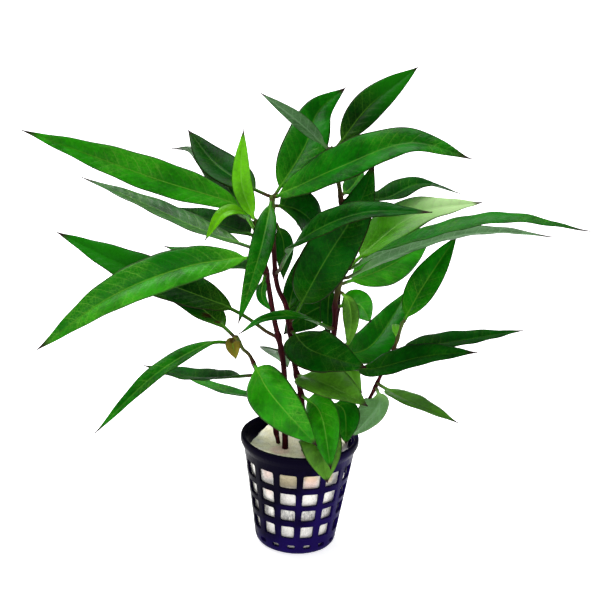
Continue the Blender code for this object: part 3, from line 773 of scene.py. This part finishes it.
def leaf_material(name, upper, settings):
    """Upper and lower face, midrib, side veins, a net of fine veins, brown margin and tip.

    A span's first two numbers are the values of its noise or distance between which it changes.
    """
    w = Wiring(name)
    clear, gloss = LEAF_TONES[name]
    where = w.place()
    upper_side, edge, tip, stalk, shade = (w.attribute(key) for key in LEAF_LAYERS)
    vein, midrib, across = vein_pattern(w, where, settings)
    ribs = w.highest(vein, midrib)
    net = w.cell_borders(where, scale=0.6, width=0.09)
    nets = w.highest(net, w.times(w.cell_borders(where, scale=1.3, width=0.13), FINE_NET_STRENGTH))
    cloudy = w.noise(where, scale=0.09, detail=4.0, roughness=0.6)
    mottled = w.noise(where, scale=0.8, detail=4.0, roughness=0.65)
    ragged = w.times(w.minus(mottled, 0.5), BROWN_RAGGED)
    to_tip = w.plus(tip, ragged)

    # The upper face: clouded and mottled, its fine veins in patches and towards the base
    dark = tinted(upper, 0.42)
    top = w.mix(w.span(cloudy, 0.35, 0.65), dark, upper)
    light = tinted(upper, 1.5, (0.004, 0.02, 0.0))
    top = w.mix(w.times(w.span(mottled, 0.45, 0.75), LIGHT_MOTTLES), top, light)
    # Painted shade: one half of the blade darkened as if it lay in its own shade
    if name in SHADED_HALF_COLOURS:
        top = w.mix(w.span(across, 0.4, -0.8, 0.0, HALF_SHADE_STRENGTH), top, SHADED_HALF_COLOURS[name])
    patchy = w.span(w.noise(where, scale=0.06, detail=2.0), 0.42, 0.62)
    veined = w.highest(patchy, w.span(tip, 0.34, 0.05))
    top = w.mix(w.times(nets, w.times(veined, NET_STRENGTH * clear)), top, settings.midrib)
    everywhere, in_patches = VEIN_STRENGTHS
    shown = w.times(w.plus(w.times(veined, in_patches), everywhere), clear)
    top = w.mix(w.times(vein, shown), top, settings.midrib)
    at_base, at_tip = (strength * clear for strength in MIDRIB_STRENGTHS)
    top = w.mix(w.times(midrib, w.span(tip, 1.0, 0.2, at_tip, at_base)), top, settings.midrib)

    # The lower face: paler, its ribs paler still
    ridge = tinted(settings.underside, 1.7, (0.03, 0.03, 0.03))
    below = w.mix(w.span(cloudy, 0.3, 0.7), tinted(settings.underside, 0.6), settings.underside)
    below = w.mix(w.times(ribs, RIBS_BELOW), below, ridge)
    below = w.mix(w.times(net, NET_BELOW), below, ridge)

    # Both: fresh at the base, brown at margin, tip and spots, reddish at the stalk's foot
    colour = w.mix(upper_side, below, top)
    fresh = tinted(upper, 1.3, (0.05, 0.08, 0.004))
    colour = w.mix(w.span(tip, 0.0, 0.16, FRESH_BASE * clear, 0.0), colour, fresh)
    # For a bleached tip this is the leaf's own colour; for a leaf whose base lies in shadow it is painted
    # shade, lighter outwards
    if name in OUTER_COLOURS:
        colour = w.mix(w.span(to_tip, 0.25, 0.75), colour, OUTER_COLOURS[name])
    marks = w.patches(where, LEAF_SPOTS.get(name, ()), mottled)
    colour = w.mix(w.times(marks, SPOT_STRENGTH), colour, DEAD_BROWN)
    to_margin = w.plus(edge, ragged)
    colour = w.mix(w.span(to_margin, *BROWN_EDGE, 0.0, MARGIN_STRENGTH), colour, settings.tip)
    colour = w.mix(w.span(to_tip, *BROWN_EDGE), colour, settings.tip)
    to_foot = w.plus(stalk, ragged)
    colour = w.mix(w.span(to_foot, 0.25, 0.9, 0.0, FOOT_STRENGTH), colour, STALK_FOOT)
    own_shade = w.node("ShaderNodeVectorMath", operation="SCALE")
    w.feed(own_shade, {"Vector": colour, "Scale": shade})

    relief = w.plus(w.times(vein, -VEIN_DEPTH), w.times(nets, -NET_DEPTH))
    relief = w.plus(relief, w.times(mottled, MOTTLE_RISE))
    normal = w.bump(relief, strength=0.35, millimetres=0.25)
    w.feed(w.shader, {
        "Base Color": own_shade.outputs[0],
        "Roughness": w.span(mottled, 0.3, 0.7, *LEAF_ROUGHNESS),
        "Specular IOR Level": 0.5,
        "IOR": gloss,
    })

    # The light that comes through the blade, less of it at the ribs and none at the brown
    glow = tinted(upper, 1.9, (0.008 * clear, 0.05 * clear, 0.0))
    through = w.mix(w.times(ribs, RIBS_OPAQUE), glow, dark)
    through = w.mix(w.highest(marks, w.span(to_tip, 0.9, 0.98)), through, settings.tip)
    behind = w.node("ShaderNodeBsdfTranslucent")
    w.feed(behind, {"Color": through, "Normal": normal})
    both = w.node("ShaderNodeMixShader")
    both.inputs["Fac"].default_value = LIGHT_THROUGH
    w.tree.links.new(w.shader.outputs["BSDF"], both.inputs[1])
    w.tree.links.new(behind.outputs["BSDF"], both.inputs[2])
    w.tree.links.new(both.outputs["Shader"], w.output.inputs["Surface"])
    return w.material


class HYGROPHILA_OT_leaves(Operator):
    """Grow every leaf, veined and waved, over the frame's plain leaf"""

    bl_idname = "hygrophila.leaves"
    bl_label = "Grow leaves"

    def execute(self, context):
        settings = context.scene.hygrophila_leaves
        finishes = {tone: leaf_material(tone, getattr(settings, tone), settings) for tone in LEAF_TONES}
        rng = random.Random(LEAF_SEED)
        for stem_name, stem in PLANT.items():
            close = route_points(stem.route)
            for number, leaf in enumerate(stem.leaves, start=1):
                name = f"leaf_{stem_name}_{number}"
                piece = grow_leaf(f"veined_{name}", leaf, stem, close, finishes[leaf.tone], settings, rng)
                dress(piece, "leaf", name)
        return {"FINISHED"}


STEM_SIDES = 18
STEM_RING_STEP = 0.7

# The stem is slightly four-sided, by this share of its radius
STEM_RIBS = 4
STEM_RIB_RISE = 0.035

# How blunt its growing tip is, as a share of its radius
TIP_BLUNTNESS = 0.02

# How far a node's swelling reaches, and the nodes without a leaf under the lowest one with a leaf
NODE_REACH = 1.5
BARE_NODES = 5
BARE_NODE_STEP = 14.0

BARK_ROUGHNESS = (0.32, 0.55)


def grow_stem(name, stem, finish, settings):
    """A stem with its nodes swollen, ending in a rounded growing tip."""
    close = route_points(stem.route)
    length = route_length(close)
    rings = round(length / STEM_RING_STEP)
    shares = [i / (rings - 1) for i in range(rings)]
    frames = points_along(close, shares)
    nodes = {leaf.node for leaf in stem.leaves}
    lowest = min(nodes)
    nodes |= {lowest - BARE_NODE_STEP * step for step in range(1, BARE_NODES + 1)}
    bm, places, layers = rod(rings, STEM_SIDES, "young")
    for vert, ring, angle in places:
        place, heading = frames[ring]
        share = shares[ring]
        side = Vector((0, -1, 0)).cross(heading).normalized()
        up = heading.cross(side)
        nearest = min(abs(place.z - height) for height in nodes)
        radius = stem_radius(stem, share)
        radius *= 1 + settings.node_swelling * math.exp(-((nearest / NODE_REACH) ** 2))
        radius *= 1 + STEM_RIB_RISE * math.cos(STEM_RIBS * angle)
        radius *= math.sqrt(min(1, (1 - share) * length / radius + TIP_BLUNTNESS))
        vert.co = (place + (side * math.cos(angle) + up * math.sin(angle)) * radius) * MM
        vert[layers["young"]] = share
    return mesh_object(name, bm, finish)


def bark_material(settings):
    """Purple-brown bark with lengthwise pinkish streaks, greener towards the growing tip."""
    w = Wiring("bark")
    streaks = w.noise(w.place((1.0, 1.0, 0.12)), scale=1.4, detail=4.0, roughness=0.6)
    blotches = w.noise(w.place(), scale=0.22)
    colour = w.mix(w.span(streaks, 0.5, 0.72), settings.bark, settings.flush)
    colour = w.mix(w.times(w.span(blotches, 0.45, 0.7), 0.5), colour, tinted(settings.bark, 0.4))
    young = w.span(w.plus(w.attribute("young"), w.times(streaks, 0.1)), 0.86, 1.05)
    colour = w.mix(w.times(young, 0.7), colour, settings.growing)
    w.bump(streaks, strength=0.4, millimetres=0.2)
    w.feed(w.shader, {
        "Base Color": colour,
        "Roughness": w.span(streaks, 0.3, 0.7, *BARK_ROUGHNESS),
        "Specular IOR Level": 0.4,
        "IOR": 1.12,
    })
    return w.material


class HYGROPHILA_OT_stems(Operator):
    """Grow the four stems and the two low shoots"""

    bl_idname = "hygrophila.stems"
    bl_label = "Grow stems"

    def execute(self, context):
        settings = context.scene.hygrophila_stems
        finish = bark_material(settings)
        for name, stem in PLANT.items():
            dress(grow_stem(f"noded_stem_{name}", stem, finish, settings), "stem", f"stem_{name}")
        return {"FINISHED"}


def wall_radius(height):
    """The outside of the pot's wall at a height."""
    share = (height - FOOT_CURVE_HEIGHT) / (POT_HEIGHT - RIM_DEPTH - FOOT_CURVE_HEIGHT)
    return WALL_FOOT_RADIUS + share * (WALL_TOP_RADIUS - WALL_FOOT_RADIUS)


def pot_section():
    """Half of the pot's section, from the middle of the inner floor over the rim to the underside."""
    inner_top = RIM_RADIUS - RIM_THICKNESS
    return [
        (0, FLOOR),
        (FOOT_RADIUS - 1.6, FLOOR),
        (FOOT_RADIUS + 0.4, FLOOR + 0.5),
        (WALL_FOOT_RADIUS - WALL - 0.4, FOOT_CURVE_HEIGHT - 0.7),
        (WALL_FOOT_RADIUS - WALL, FOOT_CURVE_HEIGHT + 0.6),
        (WALL_TOP_RADIUS - WALL, POT_HEIGHT - RIM_DEPTH - 0.2),
        (inner_top - 0.25, POT_HEIGHT - 4.2),
        (inner_top, POT_HEIGHT - 0.9),
        (inner_top + 0.25, POT_HEIGHT - 0.3),
        (inner_top + 0.7, POT_HEIGHT),
        (RIM_RADIUS - 0.7, POT_HEIGHT),
        (RIM_RADIUS - 0.2, POT_HEIGHT - 0.25),
        (RIM_RADIUS, POT_HEIGHT - 0.8),
        (RIM_RADIUS, POT_HEIGHT - 2.4),
        (RIM_RADIUS - 0.25, POT_HEIGHT - 3.0),
        (WALL_TOP_RADIUS + 0.35, POT_HEIGHT - RIM_DEPTH + 0.6),
        (WALL_TOP_RADIUS, POT_HEIGHT - RIM_DEPTH),
        (WALL_FOOT_RADIUS, FOOT_CURVE_HEIGHT),
        (WALL_FOOT_RADIUS - 0.35, FOOT_CURVE_HEIGHT - 1.3),
        (WALL_FOOT_RADIUS - 1.1, FOOT_CURVE_HEIGHT - 2.4),
        (FOOT_RADIUS + 0.8, 0.25),
        (FOOT_RADIUS, 0),
        (0, 0),
    ]


def turned(outline):
    """A bmesh of a section in the X-Z plane spun about Z."""
    bm = bmesh.new()
    verts = [bm.verts.new((r * MM, 0, z * MM)) for r, z in outline]
    edges = [bm.edges.new(pair) for pair in zip(verts, verts[1:])]
    bmesh.ops.spin(
        bm, geom=[*verts, *edges], cent=(0, 0, 0), axis=(0, 0, 1), angle=math.tau,
        steps=POT_STEPS, use_merge=True,
    )
    bmesh.ops.remove_doubles(bm, verts=bm.verts, dist=0.01 * MM)
    bmesh.ops.recalc_face_normals(bm, faces=bm.faces)
    return bm


def add_opening(bm, angle, low, high, width, corner):
    """The block that cuts one opening in the wall, its four edges through the wall rounded."""
    middle = (low + high) / 2
    place = (
        Matrix.Rotation(angle, 4, "Z")
        @ Matrix.Translation(((wall_radius(middle) - WALL / 2) * MM, 0, middle * MM))
        @ Matrix.Diagonal((CUTTER_DEPTH * MM, width * MM, (high - low) * MM, 1))
    )
    made = bmesh.ops.create_cube(bm, size=1, matrix=place)
    outward = place.to_3x3().col[0].normalized()
    edges = {e for vert in made["verts"] for e in vert.link_edges}
    through = [e for e in edges if abs((e.verts[0].co - e.verts[1].co).normalized().dot(outward)) > 0.99]
    bmesh.ops.bevel(
        bm, geom=through, offset=corner, segments=CORNER_STEPS, profile=0.5, affect="EDGES", material=-1,
        clamp_overlap=True,
    )


def pot_openings(settings):
    """All the pot's windows, foot slots and drain holes as one set of blocks."""
    bm = bmesh.new()
    for column in range(WINDOW_COLUMNS):
        angle = WINDOW_TURN + math.tau * column / WINDOW_COLUMNS
        for low, high in WINDOW_ROWS:
            radius = wall_radius((low + high) / 2) - WALL / 2
            width = math.tau * radius / WINDOW_COLUMNS - RIB_WIDTH
            add_opening(bm, angle, low, high, width, settings.window_corner)
    for number in range(FOOT_SLOTS):
        angle = FOOT_SLOT_TURN + math.tau * number / FOOT_SLOTS
        add_opening(bm, angle, *FOOT_SLOT_ROW, FOOT_SLOT_WIDTH, settings.slot_corner)
    radius = FLOOR_HOLE_RADIUS * MM
    for number in range(FLOOR_HOLES):
        place = (
            Matrix.Rotation(math.tau * number / FLOOR_HOLES, 4, "Z")
            @ Matrix.Translation((FLOOR_HOLE_RING * MM, 0, 0))
        )
        bmesh.ops.create_cone(
            bm, cap_ends=True, segments=FLOOR_HOLE_SIDES, radius1=radius, radius2=radius,
            depth=CUTTER_DEPTH * MM, matrix=place,
        )
    return bm


# The plastic is darkest above the first height and violet under the second, and the border between them
# wanders by so many millimetres. It is higher on the right by this slope, as painted light from that side.
VIOLET_HEIGHTS = (40.0, -6.0)
VIOLET_WANDER = 60.0
LIT_SIDE_SLOPE = 1.1

PLASTIC_ROUGHNESS = (0.24, 0.45)


def plastic_material(settings):
    """Black plastic, violet towards the foot and, as painted light, on the right: soft gloss, fine moulding
    grain and scuffs.
    """
    w = Wiring("net pot plastic")
    where = w.place()
    axes = w.axes(where)
    cloudy = w.noise(where, scale=0.09, roughness=0.5)
    scuffs = w.noise(w.place((1.0, 1.0, 0.25)), scale=1.1, detail=6.0, roughness=0.7)
    grain = w.noise(where, scale=7.0, detail=2.0)
    wander = w.times(w.minus(cloudy, 0.5), VIOLET_WANDER)
    # Painted light: the violet comes higher up on the right, where the light falls
    height = w.plus(axes["Z"], w.plus(wander, w.times(axes["X"], -LIT_SIDE_SLOPE)))
    colour = w.mix(w.span(height, *VIOLET_HEIGHTS), settings.plastic, settings.violet)
    colour = w.mix(w.times(w.span(scuffs, 0.58, 0.8), 0.5), colour, settings.scuffed)
    w.bump(w.plus(w.times(grain, 0.4), scuffs), strength=0.12, millimetres=0.12)
    w.feed(w.shader, {
        "Base Color": colour,
        "Roughness": w.span(scuffs, 0.3, 0.75, *PLASTIC_ROUGHNESS),
        "Specular IOR Level": 0.25,
        "IOR": 1.08,
    })
    return w.material


# An edge sharper than this is rounded, in so many steps
SHARP_ANGLE = math.radians(40)
EDGE_STEPS = 2


class HYGROPHILA_OT_pot(Operator):
    """Mould the round net pot with its rounded windows, foot slots and drain holes"""

    bl_idname = "hygrophila.pot"
    bl_label = "Mould net pot"

    def execute(self, context):
        settings = context.scene.hygrophila_pot
        finish = plastic_material(settings)
        pot = mesh_object("moulded_net_pot", turned(pot_section()), finish)
        cutter = mesh_object("pot_openings", pot_openings(settings), finish)
        pierce = pot.modifiers.new("openings", "BOOLEAN")
        pierce.object = cutter
        pierce.operation = "DIFFERENCE"
        pierce.solver = "EXACT"
        graph = context.evaluated_depsgraph_get()
        pierced = bpy.data.meshes.new_from_object(pot.evaluated_get(graph))
        pot.modifiers.clear()
        pot.data = pierced
        pierced.name = pot.name
        bpy.data.objects.remove(cutter)
        if len(pierced.polygons) < POT_STEPS:
            raise RuntimeError("the pot came out empty when its windows were cut")
        pierced.shade_smooth()
        edge = pot.modifiers.new("moulded edges", "BEVEL")
        edge.width = settings.edge
        edge.segments = EDGE_STEPS
        edge.limit_method = "ANGLE"
        edge.angle_limit = SHARP_ANGLE
        edge.harden_normals = True
        dress(pot, "net_pot", "net_pot")
        return {"FINISHED"}


PLUG_CUTS = 70

# The scales of the noises for the lumps and for the finer ones on them, and the value of their sum
# at which the surface stays where it is
LUMP_SCALE = 0.16
FINE_LUMP_SCALE = 0.9
LUMP_LEVEL = 0.8


def plug_point(shape, settings):
    """Where a point of the unit cube lies on the plug: a squarish block rounded by the pot's wall."""
    height = PLUG_FOOT + (shape.z + 0.5) * (PLUG_TOP - PLUG_FOOT)
    flat = Vector((shape.x, shape.y)) * 2 * PLUG_FLAT
    curve_in = PLUG_CURVE_IN * max(0, FOOT_CURVE_HEIGHT + 1 - height)
    limit = wall_radius(height) - WALL - PLUG_ROOM - curve_in
    if flat.length > limit:
        flat = flat.normalized() * limit
    flat = flat.to_3d()
    flat.rotate(Matrix.Rotation(PLUG_TURN, 3, "Z"))
    place = Vector((flat.x, flat.y, height))
    outward = Vector((flat.x, flat.y, 0)) / PLUG_FLAT
    if shape.z > 0.499:
        outward = Vector((0, 0, 1))
    lumps = noise.fractal(place * LUMP_SCALE, 0.9, 2.0, 4)
    lumps += 0.5 * noise.fractal(place * FINE_LUMP_SCALE, 0.8, 2.0, 3)
    return place + outward * (lumps - LUMP_LEVEL) * 0.5 * settings.fluff / MM


def make_rockwool(settings, finish):
    """The plug's lumpy body."""
    bm = bmesh.new()
    bmesh.ops.create_cube(bm, size=1)
    bmesh.ops.subdivide_edges(bm, edges=bm.edges, cuts=PLUG_CUTS, use_grid_fill=True)
    for vert in bm.verts:
        vert.co = plug_point(vert.co.copy(), settings) * MM
    return mesh_object("fibrous_rockwool", bm, finish)


THREAD_SEED = 21
THREAD_SIDES = 3
THREAD_RINGS = 6
THREAD_RADII = (0.03, 0.07)
THREAD_LENGTHS = (1.5, 4.5)

# A thread bends to the side by up to this share of its length, and arches up by so much
THREAD_BEND = 0.2
THREAD_ARCH = 0.25

# How deep the ends of a thread sink into the wool, and between which heights a side one starts,
# as shares of the plug's height from its middle
THREAD_SINK = 0.12
THREAD_HEIGHTS = (-0.4, 0.45)


def thread_root(number, settings, rng):
    """Where a thread starts, two in three of them on the plug's top, and the way out there."""
    if number % 3:
        shape = Vector((rng.uniform(-0.5, 0.5), rng.uniform(-0.5, 0.5), 0.5))
        return plug_point(shape, settings), Vector((0, 0, 1))
    angle = rng.uniform(0, math.tau)
    shape = Vector((math.cos(angle), math.sin(angle), 0))
    shape /= 2 * max(abs(shape.x), abs(shape.y))
    shape.z = rng.uniform(*THREAD_HEIGHTS)
    start = plug_point(shape, settings)
    return start, Vector((start.x, start.y, 0)).normalized()


def add_thread(bm, pattern, start, heading, out, length, rng):
    """One loose thread: a copy of the straight one, bent along its length."""
    radius = rng.uniform(*THREAD_RADII)
    bend = rng.uniform(-THREAD_BEND, THREAD_BEND) * length
    before = len(bm.verts)
    bm.from_mesh(pattern)
    bm.verts.ensure_lookup_table()
    side = out.cross(heading).normalized()
    for vert in bm.verts[before:]:
        t = (vert.co.z + 1) / 2
        arch = math.sin(math.pi * t)
        offset = side * (vert.co.x * radius + bend * arch)
        offset += out * (vert.co.y * radius + THREAD_ARCH * arch)
        vert.co = (start + heading * length * t + offset) * MM


def make_threads(settings, finish):
    """Loose threads lying on the plug's top and on its sides, where the windows show them."""
    rng = random.Random(THREAD_SEED)
    pattern = new_mesh("straight_thread", rod(THREAD_RINGS, THREAD_SIDES)[0])
    bm = bmesh.new()
    for number in range(settings.threads):
        start, out = thread_root(number, settings, rng)
        heading = Vector((rng.gauss(0, 1), rng.gauss(0, 1), rng.gauss(0, 0.5)))
        heading = (heading - out * heading.dot(out)).normalized()
        length = rng.uniform(*THREAD_LENGTHS)
        middle = Vector((start.x, start.y, 0))
        if middle.length + length > WALL_FOOT_RADIUS and middle.dot(heading) > 0:
            heading = -heading
        add_thread(bm, pattern, start - out * THREAD_SINK, heading, out, length, rng)
    bpy.data.meshes.remove(pattern)
    return mesh_object("rockwool_threads", bm, finish)


# Coloured places on the wool: the middle of each and its reach. Then how strong their colours, the
# grey and the painted shade between the fibres are, from nought to one.
DAMP_PATCHES = (((-4, -19, 36), 8), ((5, -20, 40), 5), ((14, -17, 37), 5))
ROSY_PATCHES = (
    ((-13, -17, 38), 5), ((5, -21, 35), 5), ((-13, -17, 29), 5), ((-8, -10, 46), 6), ((4, -13, 46), 5),
)
DAMP_STRENGTH = 0.85
ROSY_STRENGTH = 0.6
GREY_STRENGTH = 0.9
LOW_GREY_STRENGTH = 0.2
SHADE_BETWEEN_FIBRES = 0.28

# The heights between which the wool is grey, where it turns grey again, and cream
GREY_BAND = (15, 17.5, 22.5, 25)
LOW_GREY = (16.0, 12.0)
CREAM_TOP = (43.0, 45.2)


def fibres(w, stretch, scale, distortion):
    """Fine fibres along the axis that is stretched most."""
    return w.noise(w.place(stretch), scale, detail=5.0, roughness=0.7, distortion=distortion)


def rockwool_material(settings):
    """Matted wool: white inside, cream on top, with damp, rosy and grey places, and painted shade between
    its fibres.
    """
    w = Wiring("rockwool")
    where = w.place()
    height = w.axes(where)["Z"]
    cloudy = w.noise(where, scale=0.13, detail=4.0, roughness=0.6)
    upright = fibres(w, (1.0, 1.0, 0.12), scale=1.6, distortion=0.4)
    lengthwise, crosswise = (
        fibres(w, stretch, scale=2.2, distortion=0.6) for stretch in ((1.0, 0.25, 0.8), (0.25, 1.0, 0.8))
    )
    matted = w.highest(lengthwise, crosswise)

    low, thick, thin, high = GREY_BAND
    band = w.times(w.span(height, low, thick), w.span(height, high, thin))
    grey_streaks = w.span(w.plus(upright, w.times(cloudy, 0.4)), 0.85, 0.5)
    low_grey = w.times(w.span(height, *LOW_GREY), w.span(upright, 0.6, 0.4))
    cream = w.times(w.span(height, *CREAM_TOP), w.span(cloudy, 0.25, 0.6))
    colour = w.mix(w.times(w.times(band, grey_streaks), GREY_STRENGTH), settings.wool, settings.grey)
    colour = w.mix(w.times(low_grey, LOW_GREY_STRENGTH), colour, settings.grey)
    colour = w.mix(cream, colour, settings.top)
    damp = w.times(w.patches(where, DAMP_PATCHES, cloudy), DAMP_STRENGTH)
    colour = w.mix(damp, colour, settings.damp)
    rosy = w.times(w.patches(where, ROSY_PATCHES, cloudy), ROSY_STRENGTH)
    colour = w.mix(rosy, colour, settings.rosy)
    # Painted shade: the wool darkened between its fibres
    between = w.times(w.span(matted, 0.60, 0.40), SHADE_BETWEEN_FIBRES)
    colour = w.mix(between, colour, tinted(settings.damp, 0.3))
    w.bump(matted, strength=0.8, millimetres=0.5)
    w.feed(w.shader, {"Base Color": colour, "Roughness": 0.95, "Specular IOR Level": 0.1})
    return w.material


class HYGROPHILA_OT_rockwool(Operator):
    """Press the rockwool plug into the pot and scatter its loose threads"""

    bl_idname = "hygrophila.rockwool"
    bl_label = "Press rockwool"

    def execute(self, context):
        settings = context.scene.hygrophila_rockwool
        finish = rockwool_material(settings)
        dress(make_rockwool(settings, finish), "rockwool", "rockwool_plug")
        dress(make_threads(settings, finish), "rockwool")
        return {"FINISHED"}


WHITE = (1, 1, 1)

# The sides that the two lights come from
KEY_FROM = (-0.35, 0.42, 1.0)
FILL_FROM = (0.1, -1.0, 0.35)

# The camera's sensor in millimetres, and how near to it, in metres, a thing may be
SENSOR_WIDTH = 36
NEAREST_SEEN = 0.01


def hang_sun(name, strength, spread, source):
    """A wide, soft light from one side."""
    light = bpy.data.lights.new(name, "SUN")
    light.energy = strength
    light.angle = spread
    sun = bpy.data.objects.new(name, light)
    sun.rotation_euler = Vector(source).to_track_quat("Z", "Y").to_euler()
    bpy.context.scene.collection.objects.link(sun)


def lay_floor(settings):
    """The pale floor, which gives some light of its own so that hardly a shadow shows."""
    w = Wiring("pale floor")
    w.feed(w.shader, {
        "Base Color": settings.floor_colour,
        "Roughness": 0.9,
        "Emission Color": WHITE,
        "Emission Strength": settings.floor_glow,
    })
    bm = bmesh.new()
    bmesh.ops.create_grid(bm, x_segments=1, y_segments=1, size=settings.floor_size / 2)
    mesh_object("floor", bm, w.material)


def stand_camera(scene, settings):
    """The camera, at the photograph's viewing angle."""
    data = bpy.data.cameras.new("camera")
    data.lens = settings.lens
    data.sensor_width = SENSOR_WIDTH
    data.clip_start = NEAREST_SEEN
    camera = bpy.data.objects.new("camera", data)
    turn = (
        Matrix.Rotation(math.radians(90) - settings.camera_pitch, 4, "X")
        @ Matrix.Rotation(settings.camera_roll, 4, "Z")
    )
    camera.matrix_world = Matrix.Translation(settings.camera_place) @ turn
    scene.collection.objects.link(camera)
    scene.camera = camera


class HYGROPHILA_OT_studio(Operator):
    """Lay the pale floor, hang the soft lights and stand the camera"""

    bl_idname = "hygrophila.studio"
    bl_label = "Set up studio"

    def execute(self, context):
        scene = context.scene
        settings = scene.hygrophila_studio
        lay_floor(settings)
        scene.world = bpy.data.worlds.new("studio")
        scene.world.use_nodes = True
        sky = scene.world.node_tree.nodes["Background"]
        sky.inputs["Color"].default_value = (*WHITE, 1)
        sky.inputs["Strength"].default_value = settings.sky
        hang_sun("key", settings.key_strength, settings.light_spread, KEY_FROM)
        hang_sun("fill", settings.fill_strength, settings.light_spread, FILL_FROM)
        stand_camera(scene, settings)
        scene.view_settings.view_transform = "Standard"
        return {"FINISHED"}


class HYGROPHILA_PT_panel(Panel):
    """The steps that make the plant, and what each may change"""

    bl_label = "Potted hygrophila"
    bl_idname = "HYGROPHILA_PT_panel"
    bl_space_type = "VIEW_3D"
    bl_region_type = "UI"
    bl_category = "Hygrophila"

    def draw(self, context):
        for name, (group, operator) in STEPS.items():
            box = self.layout.box()
            box.operator(operator.bl_idname)
            settings = getattr(context.scene, f"hygrophila_{name}")
            for key in group.__annotations__:
                box.prop(settings, key)


STEPS = {
    "pot": (PotSettings, HYGROPHILA_OT_pot),
    "rockwool": (RockwoolSettings, HYGROPHILA_OT_rockwool),
    "stems": (StemSettings, HYGROPHILA_OT_stems),
    "leaves": (LeafSettings, HYGROPHILA_OT_leaves),
    "studio": (StudioSettings, HYGROPHILA_OT_studio),
}


def register():
    for name, (group, operator) in STEPS.items():
        bpy.utils.register_class(group)
        bpy.utils.register_class(operator)
        setattr(bpy.types.Scene, f"hygrophila_{name}", PointerProperty(type=group))
    bpy.utils.register_class(HYGROPHILA_PT_panel)


def unregister():
    bpy.utils.unregister_class(HYGROPHILA_PT_panel)
    for name, (group, operator) in STEPS.items():
        delattr(bpy.types.Scene, f"hygrophila_{name}")
        bpy.utils.unregister_class(operator)
        bpy.utils.unregister_class(group)


def main():
    register()
    bpy.ops.hygrophila.pot()
    bpy.ops.hygrophila.rockwool()
    bpy.ops.hygrophila.stems()
    bpy.ops.hygrophila.leaves()
    bpy.ops.hygrophila.studio()


if __name__ == "__main__":
    main()
